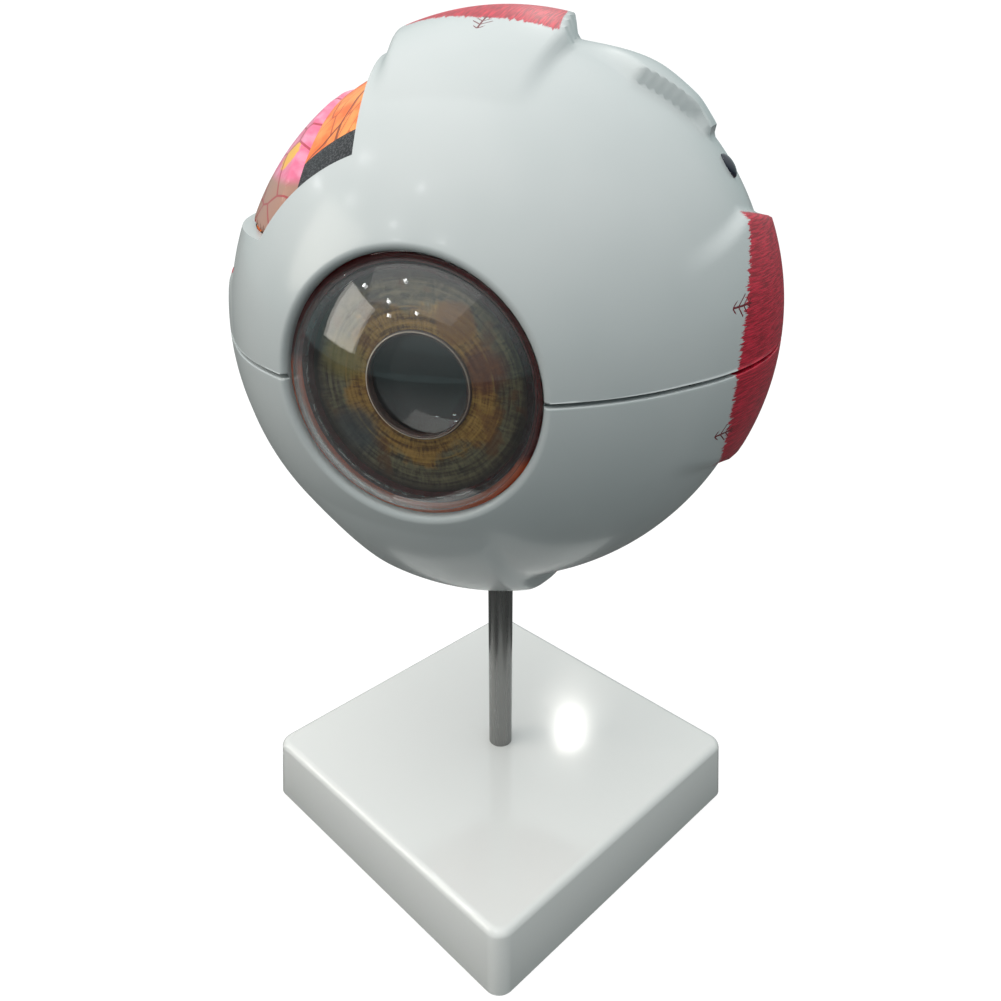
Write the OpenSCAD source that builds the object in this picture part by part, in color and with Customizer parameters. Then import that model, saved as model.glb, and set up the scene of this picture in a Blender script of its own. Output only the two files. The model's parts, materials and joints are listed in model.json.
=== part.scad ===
// Eye anatomy model, about six times life size, on a rod and a square base.
// It comes apart in layers: upper sclera, upper choroid, vitreous body, lens, cornea with iris.
// The eyeball's own frame has the optical axis along -Y, the seam at z = 0 and the nose side at +X.

/* [Eyeball] */
// Outer radius of the sclera
eye_r = 72; // [66:0.5:80]
// Wall of the moulded sclera
sclera_wall = 3; // [2.8:0.1:4]
// Wall of the choroid shell
choroid_wall = 1; // [0.8:0.1:1.5]
// Wall of the retina lining
retina_wall = 1; // [0.8:0.1:1.5]
// Height of the eyeball's centre over the table
eye_height = 176; // [150:1:220]
// Turn of the eyeball on its rod at rest
eye_turn = 27.4; // [0:0.1:45]

/* [Corneal opening] */
// Radius of the round opening in the front of the sclera
opening_r = 30; // [29.5:0.1:31]
// Radius of the rounded lip around the opening
lip_round = 2.2; // [1.5:0.1:3]
// Radius of curvature of the cornea
cornea_curve = 40; // [36:1:46]
// Wall of the cornea
cornea_wall = 1.6; // [1.2:0.1:2]
// Outer radius of the iris cup behind the cornea
iris_r = 27; // [26.5:0.1:27]
// Radius of the pupil
pupil_r = 11.7; // [9:0.1:14]
// Depth of the iris behind the cornea's flange
iris_depth = 2; // [1.8:0.1:2.6]

/* [Lens and vitreous] */
// Radius of the lens
lens_r = 25.5; // [20:0.5:25.5]
// Bulge of the lens in front of its edge
lens_front = 8; // [6:0.5:8]
// Bulge of the lens behind its edge
lens_rear = 10.5; // [8:0.5:12]
// Distance from the eyeball's centre to the vitreous body's front face
vitreous_front = 42; // [38:0.5:43]

/* [Eye muscles] */
// Superior rectus: angle from the optical axis at which it leaves the sclera
superior_start = 50; // [40:1:60]
// Superior rectus: how far its far end stands out
superior_height = 8; // [4:0.5:10]
// Superior rectus: half widths at the front, on the nose side and the temple side
superior_front = [18, 10.5];
// Superior rectus: half widths at its cut end, on the nose side and the temple side
superior_rear = [26, 34];
// Distance behind the eyeball's centre at which the superior and inferior rectus are cut off
muscle_rear = 38; // [25:1:45]
// Medial and lateral rectus: angle at which they leave the sclera
side_start = 50; // [40:1:60]
// Medial and lateral rectus: how far their far ends stand out
side_height = 6.6; // [4:0.2:10]
// Medial rectus: reach below and above the seam, at its widest
medial_wide = [29, 34.5];
// Lateral rectus: reach above and below the seam, at its widest
lateral_wide = [18, 29];
// Distance behind the eyeball's centre at which the medial and lateral rectus are cut off
side_rear = 10; // [5:1:30]
// Inferior rectus: angle at which it leaves the sclera
inferior_start = 27; // [27:1:60]
// Inferior rectus: how far its far end stands out
inferior_height = 8; // [4:0.5:10]
// Inferior rectus: half widths at the front, on the temple side and the nose side
inferior_front = [24, 18];
// Inferior rectus: half widths at its cut end, on the temple side and the nose side
inferior_rear = [32, 27];
// Rise of the oblique muscles over the sclera
oblique_rise = 2.5; // [1:0.1:3]

/* [Window] */
// Distance from the centre to the window's front edge
window_front = 52.3; // [40:0.1:55]
// Distance from the centre to the window's rear edge
window_rear = 36; // [25:1:45]
// Height of the window's lower edge over the seam
window_low = 28; // [22:1:34]
// Distance of the choroid's cut edge from the eyeball's middle plane, in front and at the rear
choroid_edge = [34, 40];

/* [Optic nerve] */
// Radius of the nerve's sheath
sheath_r = 10; // [8:0.5:12]
// How far the sheath stands out behind the sclera
sheath_out = 22; // [10:1:30]
// Angle between the rear pole and the nerve, towards the nose
nerve_angle = 15; // [10:1:20]

/* [Stand] */
// Side of the square base
base_side = 117; // [100:1:150]
// Height of the base
base_t = 23.5; // [18:1:30]
// Narrowing of the base from its foot to its top, on each side
base_draft = 1.8; // [0.5:0.1:4]
// Radius of the base's upright corners
base_corner = 5; // [4.5:0.5:12]
// Radius of the base's upper edge
base_edge = 2.5; // [1.5:0.5:4]
// Wall of the hollow base
base_wall = 3; // [2:0.5:4]
// Thickness of the foam sheet under the base
pad_t = 2; // [1.5:0.5:3]
// Radius of the steel rod
rod_r = 4; // [3.5:0.25:5]

/* [Hidden] */
$fn = 96;
far = 4 * eye_r;
loose = 0.3;                                   // room between pieces that lift apart
running = 0.05;                                // room between the rod, its sleeve and the socket
sclera_in = eye_r - sclera_wall;
choroid_out = sclera_in - loose;
choroid_in = choroid_out - choroid_wall;
retina_out = choroid_in - 0.2;
retina_in = retina_out - retina_wall;
retina_front = -36;
vitreous_r = retina_in - 2 * loose;
// front of the eye, from the lip inwards
lip_r = opening_r + lip_round;
lip_y = sqrt(pow(eye_r - lip_round, 2) - pow(lip_r, 2));   // the lip's round meets the sclera smoothly
flange_y = lip_y - 0.7;                        // rear of the cornea's flange
collar_y = flange_y - 0.2;                     // front of the choroid's collar
collar_t = 2.6;
collar_in = iris_r + 0.2;
cornea_r = opening_r - 0.4;
cornea_c = flange_y + 1.8 - sqrt(pow(cornea_curve, 2) - pow(cornea_r, 2));
flange_t = 0.8;
iris_t = 1.2;
iris_y = flange_y - iris_depth;                // front of the iris
cup_wall = 1.2;
pupil_rim = 0.8;
// lens
lens_edge_t = 3;
lens_y = iris_y - iris_t - lens_front - lens_edge_t / 2 - 1.2;
lens_curve_front = (pow(lens_r, 2) + pow(lens_front, 2)) / (2 * lens_front);
lens_curve_rear = (pow(lens_r, 2) + pow(lens_rear, 2)) / (2 * lens_rear);
ciliary_in = lens_r + 1.5;
// socket for the rod
sleeve_r = rod_r + 2;
socket_r = sleeve_r + running;
boss_r = socket_r + 3;
socket_deep = 24;
socket_top = -eye_r + socket_deep;
boss_top = socket_top + 2.5;
sleeve_cap = 2;
sleeve_end = -eye_r + 0.6;
rod_top = eye_height + socket_top - sleeve_cap;
// stand
stud_r = rod_r - 1;
boss_len = 6;
base_boss_r = 9;
base_boss_z = base_t - base_wall - boss_len;
washer_t = 1.4;
nut_t = 5;
stud_end = base_boss_z - washer_t - nut_t - 1;
rib_t = 2;
rib_z = base_boss_z;
// seam
seam_step = 0.8;
seam_cut = 1;
pin_r = 0.8;
pin_half = 3;
pin_at = (eye_r + sclera_in) / 2;
pin_angles = [40, 140, 215, 325];
window_edge = [superior_front[1] + 4.8, superior_rear[1]];
vein_roll = 36.3;
vein_theta = 85;
vein_r = 2.8;

module eye_place() { translate([0, 0, eye_height]) rotate([0, 0, eye_turn]) children(); }
module along_axis(y) { translate([0, y, 0]) rotate([-90, 0, 0]) children(); }
module lower_half() { translate([-far / 2, -far / 2, -far]) cube([far, far, far]); }
module upper_half() { translate([-far / 2, -far / 2, 0]) cube([far, far, far]); }

// A rectus muscle: the sclera's own sphere, moved outwards and back, within the muscle's outline.
// Each row of the outline is a distance behind the centre and the reach to both sides.
module rectus(r, roll, start, height, rows) {
    last = len(rows) - 1;
    rotate([0, -roll, 0]) intersection() {
        translate([height * cos(start), height * sin(start), 0]) sphere(r);
        rotate([0, 90, 0]) linear_extrude(far) polygon(concat(
            [for (i = [0 : last]) [-rows[i][2], rows[i][0]]],
            [for (i = [last : -1 : 0]) [rows[i][1], rows[i][0]]]));
    }
}

// An oblique muscle: a low step that fans out on the rear half
module oblique(r, roll) {
    rotate([0, -roll, 0]) intersection() {
        sphere(r + oblique_rise);
        rotate([0, 90, 0]) linear_extrude(far) polygon([
            [-22, -23.5], [-11.2, -18.2], [12, -6.9], [14, muscle_rear + 6], [-24, muscle_rear + 6]]);
    }
}

// A side muscle widens from its insertion to its widest place and narrows again to its cut end
function side_rows(wide) = [
    [-eye_r, 0.62 * wide[0], 0.62 * wide[1]], [-14, wide[0], wide[1]], [side_rear, wide[0] - 1, wide[1] - 4]];

// The outside of the sclera with everything that is moulded on it
module sclera_form(r) {
    sphere(r);
    rectus(r, 0, side_start, side_height, side_rows(medial_wide));
    rectus(r, 90, superior_start, superior_height, [
        [-eye_r, superior_front[0], superior_front[1]], [muscle_rear, superior_rear[0], superior_rear[1]]]);
    rectus(r, 180, side_start, side_height, side_rows(lateral_wide));
    rectus(r, 270, inferior_start, inferior_height, [
        [-eye_r, inferior_front[0], inferior_front[1]], [muscle_rear, inferior_rear[0], inferior_rear[1]]]);
    oblique(r, 52);
    oblique(r, 232);
}

// What is cut away for the corneal opening, leaving a rounded lip
module opening_cut() {
    rotate([90, 0, 0]) rotate_extrude() difference() {
        translate([0, lip_y - 12]) square([lip_r, far]);
        translate([opening_r, 0]) square([far, lip_y]);
        translate([lip_r, lip_y]) circle(lip_round);
    }
}

module sclera_shell() {
    difference() {
        sclera_form(eye_r);
        sphere(sclera_in);
        opening_cut();
        rotate([0, 0, -nerve_angle]) along_axis(0) cylinder(r = sheath_r + loose, h = far);
    }
}

// The narrow step that shows as a dark line along the seam
module seam_groove() {
    difference() {
        translate([-far / 2, -far / 2, 0]) cube([far, far, seam_step]);
        sclera_form(eye_r - seam_cut);
    }
}

module vein_place() {
    rotate([0, -vein_roll, 0]) rotate([0, 0, vein_theta]) translate([0, -eye_r, 0]) children();
}

module pins(r) {
    for (a = pin_angles) rotate([0, 0, a]) translate([pin_at, 0, -pin_half]) cylinder(r = r, h = 2 * pin_half);
}

// A window in the temple side of the upper half; edge is its distance from the middle plane
module side_window(edge) {
    translate([0, 0, window_low]) linear_extrude(far) polygon([
        [-edge[0], -window_front], [-edge[1], window_rear], [-far, window_rear], [-far, -window_front]]);
}

module choroid_shell() {
    difference() {
        intersection() {
            sphere(choroid_out);
            translate([-far / 2, -collar_y, -far / 2]) cube([far, far, far]);
        }
        difference() {
            sphere(choroid_in);
            along_axis(-collar_y) cylinder(r = lip_r, h = collar_t);
        }
        along_axis(-eye_r) cylinder(r = collar_in, h = eye_r - collar_y + collar_t + 1);
        rotate([0, 0, -nerve_angle]) along_axis(0) cylinder(r = sheath_r + loose, h = far);
    }
}

module retina_shell() {
    difference() {
        sphere(retina_out);
        sphere(retina_in);
        translate([-far / 2, -far + retina_front, -far / 2]) cube([far, far, far]);
        rotate([0, 0, -nerve_angle]) along_axis(0) cylinder(r = sheath_r + loose, h = far);
    }
}

module ciliary_ring() {
    intersection() {
        sphere(choroid_in - 0.1);
        rotate([-90, 0, 0]) rotate_extrude() polygon([
            [ciliary_in, -lens_y - 2], [ciliary_in, -lens_y + 1], [ciliary_in + 6, -vitreous_front - 1],
            [choroid_in, -vitreous_front - 1], [choroid_in, -lens_y - 5], [ciliary_in + 12, -lens_y - 5],
            [ciliary_in + 5, -lens_y - 3.5]]);
    }
}

module square_corners(half) {
    for (x = [-half, half], y = [-half, half]) translate([x, y, 0]) children();
}

module base_plate() {
    foot = base_side / 2 - base_corner;
    top = base_side / 2 - base_draft - base_edge;
    inner = foot + base_corner - base_wall - base_draft - 4;
    color("white") difference() {
        union() {
            difference() {
                hull() {
                    square_corners(foot) cylinder(r = base_corner, h = 1, $fn = 32);
                    square_corners(top) translate([0, 0, base_t - base_edge]) sphere(base_edge, $fn = 32);
                }
                hull() square_corners(inner) translate([0, 0, pad_t]) cylinder(r = 4, h = base_t - base_wall - pad_t,
                    $fn = 32);
                hull() square_corners(inner) translate([0, 0, -1]) cylinder(r = 5.5, h = pad_t + 1, $fn = 32);
            }
            translate([0, 0, base_boss_z]) cylinder(r = base_boss_r, h = boss_len + 1);
            for (a = [0, 90]) rotate([0, 0, a]) translate([-inner - 4, -rib_t / 2, rib_z])
                cube([2 * inner + 8, rib_t, base_t - base_wall - rib_z + 1]);
        }
        translate([0, 0, -1]) cylinder(r = stud_r + 0.1, h = base_t + 2);
    }
}

module base_pad() {
    inner = base_side / 2 - base_wall - base_draft - 4;
    color("dimgray") hull() square_corners(inner) cylinder(r = 5.3, h = pad_t, $fn = 32);
}

module rod() {
    color("silver") {
        translate([0, 0, base_t]) cylinder(r = rod_r, h = rod_top - base_t - 0.6);
        translate([0, 0, rod_top - 0.6]) cylinder(r1 = rod_r, r2 = rod_r - 0.6, h = 0.6);
        translate([0, 0, stud_end]) cylinder(r = stud_r, h = base_t - stud_end);
    }
}

module rod_washer() {
    color("gainsboro") translate([0, 0, base_boss_z - washer_t]) difference() {
        cylinder(r = 2 * stud_r, h = washer_t);
        translate([0, 0, -1]) cylinder(r = stud_r + 0.2, h = washer_t + 2);
    }
}

module rod_nut() {
    color("gainsboro") translate([0, 0, base_boss_z - washer_t - nut_t]) difference() {
        cylinder(r = 1.92 * stud_r, h = nut_t, $fn = 6);
        translate([0, 0, -1]) cylinder(r = stud_r + running, h = nut_t + 2);
    }
}

module rod_sleeve() {
    color("ivory") eye_place() difference() {
        translate([0, 0, sleeve_end]) cylinder(r = sleeve_r, h = socket_top - sleeve_end);
        translate([0, 0, sleeve_end - 1]) cylinder(r = rod_r + running, h = socket_top - sleeve_end - sleeve_cap + 1);
    }
}

module sclera_lower() {
    color("white") eye_place() difference() {
        union() {
            intersection() { sclera_shell(); lower_half(); }
            intersection() {
                translate([0, 0, -eye_r]) cylinder(r = boss_r, h = boss_top + eye_r);
                sphere(eye_r - 1);
            }
        }
        translate([0, 0, -far]) cylinder(r = socket_r, h = far + socket_top);
        pins(pin_r);
    }
}

module seam_pins() { color("silver") eye_place() pins(pin_r); }

module choroid_lower() {
    color("orange") eye_place() difference() {
        intersection() { choroid_shell(); lower_half(); }
        translate([0, 0, -eye_r]) cylinder(r = boss_r + loose, h = eye_r - 10);
    }
}

module retina_lower() {
    color("pink") eye_place() difference() {
        intersection() { retina_shell(); lower_half(); }
        translate([0, 0, -eye_r]) cylinder(r = boss_r + loose, h = eye_r - 10);
    }
}

module ciliary_lower() { color("saddlebrown") eye_place() intersection() { ciliary_ring(); lower_half(); } }

module nerve_sheath() {
    color("khaki") eye_place() rotate([0, 0, -nerve_angle]) along_axis(retina_in) difference() {
        cylinder(r = sheath_r, h = eye_r - retina_in + sheath_out);
        translate([0, 0, -1]) cylinder(r = sheath_r - 1.8, h = far);
    }
}

module optic_nerve() {
    color("gold") eye_place() rotate([0, 0, -nerve_angle]) along_axis(retina_in) difference() {
        cylinder(r = sheath_r - 2, h = eye_r - retina_in + sheath_out + 2);
        for (x = [-2, 2]) translate([x, 0, -1]) cylinder(r = 1.3, h = far);
    }
}

module nerve_vessel(x) {
    eye_place() rotate([0, 0, -nerve_angle]) along_axis(retina_in) translate([x, 0, 0])
        cylinder(r = 1.2, h = eye_r - retina_in + sheath_out + 4);
}

module retinal_artery() { color("red") nerve_vessel(-2); }

module retinal_vein() { color("blue") nerve_vessel(2); }

module sclera_upper() {
    color("white") eye_place() difference() {
        intersection() { sclera_shell(); upper_half(); }
        side_window(window_edge);
        seam_groove();
        pins(pin_r + loose);
        vein_place() sphere(vein_r);
    }
}

module vortex_vein() {
    color("black") eye_place() vein_place() sphere(vein_r);
}

module choroid_upper() {
    color("orange") eye_place() difference() {
        intersection() { choroid_shell(); upper_half(); }
        side_window(choroid_edge);
    }
}

module retina_upper() {
    color("pink") eye_place() intersection() { retina_shell(); upper_half(); }
}

module ciliary_upper() { color("saddlebrown") eye_place() intersection() { ciliary_ring(); upper_half(); } }

module vitreous_body() {
    color("lightcyan") eye_place() difference() {
        sphere(vitreous_r);
        translate([-far / 2, -far - vitreous_front, -far / 2]) cube([far, far, far]);
        translate([0, -lens_y + lens_edge_t / 2 + lens_rear - lens_curve_rear, 0]) sphere(lens_curve_rear + loose);
        translate([0, 0, -eye_r]) cylinder(r = boss_r + 2 * loose, h = boss_top + eye_r + 2 * loose);
    }
}

module lens() {
    color("azure") eye_place() intersection() {
        translate([0, -lens_y - lens_edge_t / 2 - lens_front + lens_curve_front, 0]) sphere(lens_curve_front);
        translate([0, -lens_y + lens_edge_t / 2 + lens_rear - lens_curve_rear, 0]) sphere(lens_curve_rear);
        along_axis(-eye_r) cylinder(r = lens_r, h = eye_r);
    }
}

module cornea() {
    color("lightblue") eye_place() {
        difference() {
            intersection() {
                translate([0, -cornea_c, 0]) sphere(cornea_curve);
                along_axis(-2 * eye_r) cylinder(r = cornea_r, h = 2 * eye_r - flange_y);
            }
            intersection() {
                translate([0, -cornea_c, 0]) sphere(cornea_curve - cornea_wall);
                along_axis(-2 * eye_r) cylinder(r = cornea_r - cornea_wall, h = 2 * eye_r);
            }
        }
        along_axis(-flange_y - flange_t) difference() {
            cylinder(r = cornea_r, h = flange_t);
            translate([0, 0, -1]) cylinder(r = iris_r - cup_wall, h = flange_t + 2);
        }
    }
}

module iris() {
    color("olive") eye_place() {
        along_axis(-flange_y) difference() {
            cylinder(r = iris_r, h = iris_depth + iris_t);
            translate([0, 0, -1]) cylinder(r = iris_r - cup_wall, h = iris_depth + 1);
            cylinder(r = pupil_r, h = far);
        }
        along_axis(-iris_y - pupil_rim) difference() {
            cylinder(r = pupil_r + pupil_rim, h = pupil_rim + iris_t / 2);
            translate([0, 0, -1]) cylinder(r = pupil_r, h = far);
        }
    }
}

base_plate();
base_pad();
rod();
rod_washer();
rod_nut();
rod_sleeve();
sclera_lower();
seam_pins();
choroid_lower();
retina_lower();
ciliary_lower();
nerve_sheath();
optic_nerve();
retinal_artery();
retinal_vein();
sclera_upper();
vortex_vein();
choroid_upper();
retina_upper();
ciliary_upper();
vitreous_body();
lens();
cornea();
iris();
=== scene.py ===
import json
import math

import bmesh
import bpy
from mathutils import Matrix, Vector

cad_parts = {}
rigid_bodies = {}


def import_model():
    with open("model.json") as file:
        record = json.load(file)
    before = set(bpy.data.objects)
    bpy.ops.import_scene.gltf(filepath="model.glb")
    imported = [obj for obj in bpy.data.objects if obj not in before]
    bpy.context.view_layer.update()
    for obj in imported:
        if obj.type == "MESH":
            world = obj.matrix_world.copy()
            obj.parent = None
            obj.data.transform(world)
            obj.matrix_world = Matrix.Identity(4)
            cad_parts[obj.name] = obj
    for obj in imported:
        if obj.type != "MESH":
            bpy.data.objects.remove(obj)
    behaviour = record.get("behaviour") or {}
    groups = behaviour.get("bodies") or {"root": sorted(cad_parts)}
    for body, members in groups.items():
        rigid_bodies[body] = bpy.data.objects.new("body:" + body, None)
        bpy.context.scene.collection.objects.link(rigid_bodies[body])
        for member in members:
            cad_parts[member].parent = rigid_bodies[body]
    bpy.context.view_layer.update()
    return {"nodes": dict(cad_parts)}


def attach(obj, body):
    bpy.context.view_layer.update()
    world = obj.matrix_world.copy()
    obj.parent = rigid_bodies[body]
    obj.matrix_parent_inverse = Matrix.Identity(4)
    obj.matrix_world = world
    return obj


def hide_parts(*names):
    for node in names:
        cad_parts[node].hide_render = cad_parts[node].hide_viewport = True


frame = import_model()
nodes = frame["nodes"]

# ---------------------------------------------------------------------------------------------
# Base: a hollow square foot, moulded in glossy white plastic with a little draft and rounded
# edges. A boss under its top holds the rod, and a foam sheet closes it from below.
base_side, base_height, base_wall = 0.117, 0.0235, 0.003
base_draft, base_corner, base_edge = 0.0018, 0.005, 0.0025


def make_piece(name, bm, material, body, replaced=None):
    mesh = bpy.data.meshes.new(name)
    bm.to_mesh(mesh)
    bm.free()
    mesh.materials.append(material)
    piece = bpy.data.objects.new(name, mesh)
    bpy.context.scene.collection.objects.link(piece)
    for face in mesh.polygons:
        face.use_smooth = True
    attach(piece, body)
    if replaced:
        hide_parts(replaced)
    return piece


def plain_material(name, colour, roughness, **sockets):
    material = bpy.data.materials.new(name)
    material.use_nodes = True
    shader = material.node_tree.nodes["Principled BSDF"]
    shader.inputs["Base Color"].default_value = (*colour, 1)
    shader.inputs["Roughness"].default_value = roughness
    for socket, value in sockets.items():
        shader.inputs[socket.replace("_", " ")].default_value = value
    return material


def add_node(material, kind, **values):
    node = material.node_tree.nodes.new(kind)
    for key, value in values.items():
        setattr(node, key, value)
    return node


def join(material, output, target):
    material.node_tree.links.new(output, target)


def ramp(material, value, low, high, to_low=0.0, to_high=1.0):
    node = add_node(material, "ShaderNodeMapRange", interpolation_type="SMOOTHSTEP")
    join(material, value, node.inputs["Value"])
    for key, number in (("From Min", low), ("From Max", high), ("To Min", to_low), ("To Max", to_high)):
        node.inputs[key].default_value = number
    return node.outputs["Result"]


def noise(material, vector, scale, detail=3.0, roughness=0.5):
    node = add_node(material, "ShaderNodeTexNoise")
    join(material, vector, node.inputs["Vector"])
    node.inputs["Scale"].default_value = scale
    node.inputs["Detail"].default_value = detail
    node.inputs["Roughness"].default_value = roughness
    return node.outputs["Fac"]


def bump(material, height, strength, distance):
    node = add_node(material, "ShaderNodeBump")
    node.inputs["Strength"].default_value = strength
    node.inputs["Distance"].default_value = distance
    join(material, height, node.inputs["Height"])
    join(material, node.outputs["Normal"], material.node_tree.nodes["Principled BSDF"].inputs["Normal"])


base_paint = plain_material("glossy white base", (0.71, 0.705, 0.695), 0.16, Coat_Weight=0.4, Coat_Roughness=0.06)
base_coords = add_node(base_paint, "ShaderNodeTexCoord").outputs["Object"]
base_smear = noise(base_paint, base_coords, 28.0, 4.0)
join(base_paint, ramp(base_paint, base_smear, 0.35, 0.75, 0.09, 0.17),
     base_paint.node_tree.nodes["Principled BSDF"].inputs["Roughness"])
bump(base_paint, noise(base_paint, base_coords, 60.0, 1.0), 0.05, 0.0004)

bm = bmesh.new()
bmesh.ops.create_cube(bm, size=1.0)
bmesh.ops.scale(bm, vec=(base_side, base_side, base_height), verts=bm.verts)
bmesh.ops.translate(bm, vec=(0, 0, base_height / 2), verts=bm.verts)
top = [v for v in bm.verts if v.co.z > base_height / 2]
bmesh.ops.scale(bm, vec=(1 - 2 * base_draft / base_side, 1 - 2 * base_draft / base_side, 1), verts=top)
upright = [e for e in bm.edges if abs(e.verts[0].co.z - e.verts[1].co.z) > 0.01]
bmesh.ops.bevel(bm, geom=upright, offset=base_corner, affect="EDGES", segments=10, profile=0.5, material=-1)
rim = [e for e in bm.edges if min(v.co.z for v in e.verts) > base_height - 0.0005]
bmesh.ops.bevel(bm, geom=rim, offset=base_edge, affect="EDGES", segments=8, profile=0.5, material=-1)
bmesh.ops.delete(bm, geom=[f for f in bm.faces if f.calc_center_median().z < 0.0005], context="FACES")
base_shell = make_piece("base_shell", bm, base_paint, "stand", "base_plate")
wall = base_shell.modifiers.new("wall", "SOLIDIFY")
wall.thickness = base_wall
wall.offset = -1
faces = base_shell.modifiers.new("flat faces", "WEIGHTED_NORMAL")
faces.weight = 100

bm = bmesh.new()
bmesh.ops.create_cone(bm, cap_ends=True, segments=48, radius1=0.009, radius2=0.009, depth=0.0065)
bmesh.ops.translate(bm, vec=(0, 0, base_height - base_wall - 0.00275), verts=bm.verts)
base_boss = make_piece("base_boss", bm, base_paint, "stand")
for polygon in base_boss.data.polygons:
    polygon.use_smooth = abs(polygon.normal.z) < 0.5

# ---------------------------------------------------------------------------------------------
# Stand hardware: a bright drawn steel rod with fine lengthwise marks, its zinc washer and nut
# under the base, the foam sheet, and the nylon sleeve that turns on the rod in the eyeball.
steel = plain_material("drawn steel", (0.26, 0.26, 0.255), 0.26, Metallic=1.0, Anisotropic=0.5)
steel_map = add_node(steel, "ShaderNodeMapping")
steel_map.inputs["Scale"].default_value = (900, 900, 12)
join(steel, add_node(steel, "ShaderNodeTexCoord").outputs["Object"], steel_map.inputs["Vector"])
steel_lines = noise(steel, steel_map.outputs["Vector"], 1.0, 3.0)
join(steel, ramp(steel, steel_lines, 0.3, 0.7, 0.2, 0.36), steel.node_tree.nodes["Principled BSDF"].inputs["Roughness"])
bump(steel, steel_lines, 0.12, 0.0001)
zinc = plain_material("zinc plate", (0.62, 0.63, 0.64), 0.3, Metallic=1.0)
foam = plain_material("foam sheet", (0.03, 0.03, 0.032), 0.95)
nylon = plain_material("nylon", (0.72, 0.70, 0.62), 0.4)
for node_name, finish in (("rod", steel), ("rod_washer", zinc), ("rod_nut", zinc), ("base_pad", foam),
                          ("rod_sleeve", nylon), ("seam_pins", steel)):
    nodes[node_name].data.materials.clear()
    nodes[node_name].data.materials.append(finish)

# ---------------------------------------------------------------------------------------------
# Sclera: two halves moulded in white plastic, with the eye muscles standing out of the wall.
# The tendons stay white and the muscle ends are brushed red by hand, with small dark arteries.
eye_height, eye_turn = 0.176, math.radians(27.4)
eye_place = Matrix.Translation((0, 0, eye_height)) @ Matrix.Rotation(eye_turn, 4, "Z") @ Matrix.Scale(0.001, 4)
sclera_r, sclera_wall, opening_r, lip_round = 72.0, 3.0, 30.0, 2.2
oblique_rise, oblique_rear = 3.2, 44.0
oblique_rows = ((-72, 14.0, 14.0, 5.0), (oblique_rear, 14.0, 14.0, 5.0))
window_front, window_rear, window_floor = -52.3, 36, 28
sleeve_hole_r, socket_hole_r, nerve_hole_r = 6.1, 9.35, 10.3
side_rows = ((-72, 18.0, 21.4, 9.0), (-14, 29.0, 34.5, 2.8), (10, 28.0, 30.5, 2.8))
muscles = (   # roll about the optical axis, start, height, tag, rows: place behind the centre, both reaches, slope
    (0, 50, 5.5, 0, side_rows),
    (90, 50, 8.0, 100, ((-72, 18.0, 10.5, 8.0), (-16, 22.0, 22.8, 3.0), (4, 19.0, 26.6, 3.0),
                   (24, 13.5, 31.0, 3.0), (38, 12.0, 34.0, 3.0))),
    (180, 50, 6.6, 200, ((-72, 11.2, 18.0, 9.0), (-14, 18.0, 29.0, 1.8), (10, 17.0, 25.0, 1.8))),
    (270, 27, 7.2, 300, ((-72, 40.0, 18.0, 5.0), (38, 40.0, 27.0, 5.0))),
)


def soft(value, width):
    share = min(1.0, max(0.0, value / width))
    return share * share * (3 - 2 * share)


def muscle_coords(point, roll, rows):
    """How far out and how far across a point lies on a muscle, how far inside its outline, and the edge's slope."""
    turn = math.radians(roll)
    out = point.x * math.cos(turn) + point.z * math.sin(turn)
    across = -point.x * math.sin(turn) + point.z * math.cos(turn)
    for low, high in zip(rows, rows[1:]):
        if point.y <= high[0]:
            break
    share = (point.y - low[0]) / (high[0] - low[0])
    minus, plus, slope = (low[side] + (high[side] - low[side]) * share for side in (1, 2, 3))
    return out, across, min(plus - across, across + minus) if out > 0 else -99.0, slope


def sclera_rise(point):
    best = 0.0
    point = point * (sclera_r / point.length)
    for roll, start, height, tag, rows in muscles:
        out, across, inside, slope = muscle_coords(point, roll, rows)
        if tag == 300:
            inside = min(inside, (across + 40.0) * 0.22)
        along = out * math.cos(math.radians(start)) + point.y * math.sin(math.radians(start))
        along *= height / sclera_r
        rise = along + math.sqrt(sclera_r ** 2 - height ** 2 + along ** 2) - sclera_r
        best = max(best, rise * soft(inside, slope) * soft(rows[-1][0] - point.y, 2.0))
    for roll in (52, 232):
        out, across, inside, slope = muscle_coords(point, roll, oblique_rows)
        front = min(-7.5, max(-15.2, -10.6 - 0.49 * across))
        ramp_length = 2.0 + 1.1 * max(0.0, across - 9.0)
        rise = (oblique_rise * soft(30 - across, 24.0) * soft(across + 12.0, 2.0)
                * (1 - 0.35 * soft(-across - 2, 9.0)) * (1 - 0.5 * soft(point.y - 12, 25.0)))
        rise *= soft(point.y - front, ramp_length) * soft(oblique_rear - point.y, 3.0)
        best = max(best, rise if out > 0 else 0.0)
    return best


def red_edge(across, tag):
    """Where the red paint starts on a muscle, behind the eyeball's centre."""
    if tag in (100, 300):
        return -17.0 + 0.35 * max(0.0, across)
    return -30.0 + 0.0118 * (across + 2.0) ** 2


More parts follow.
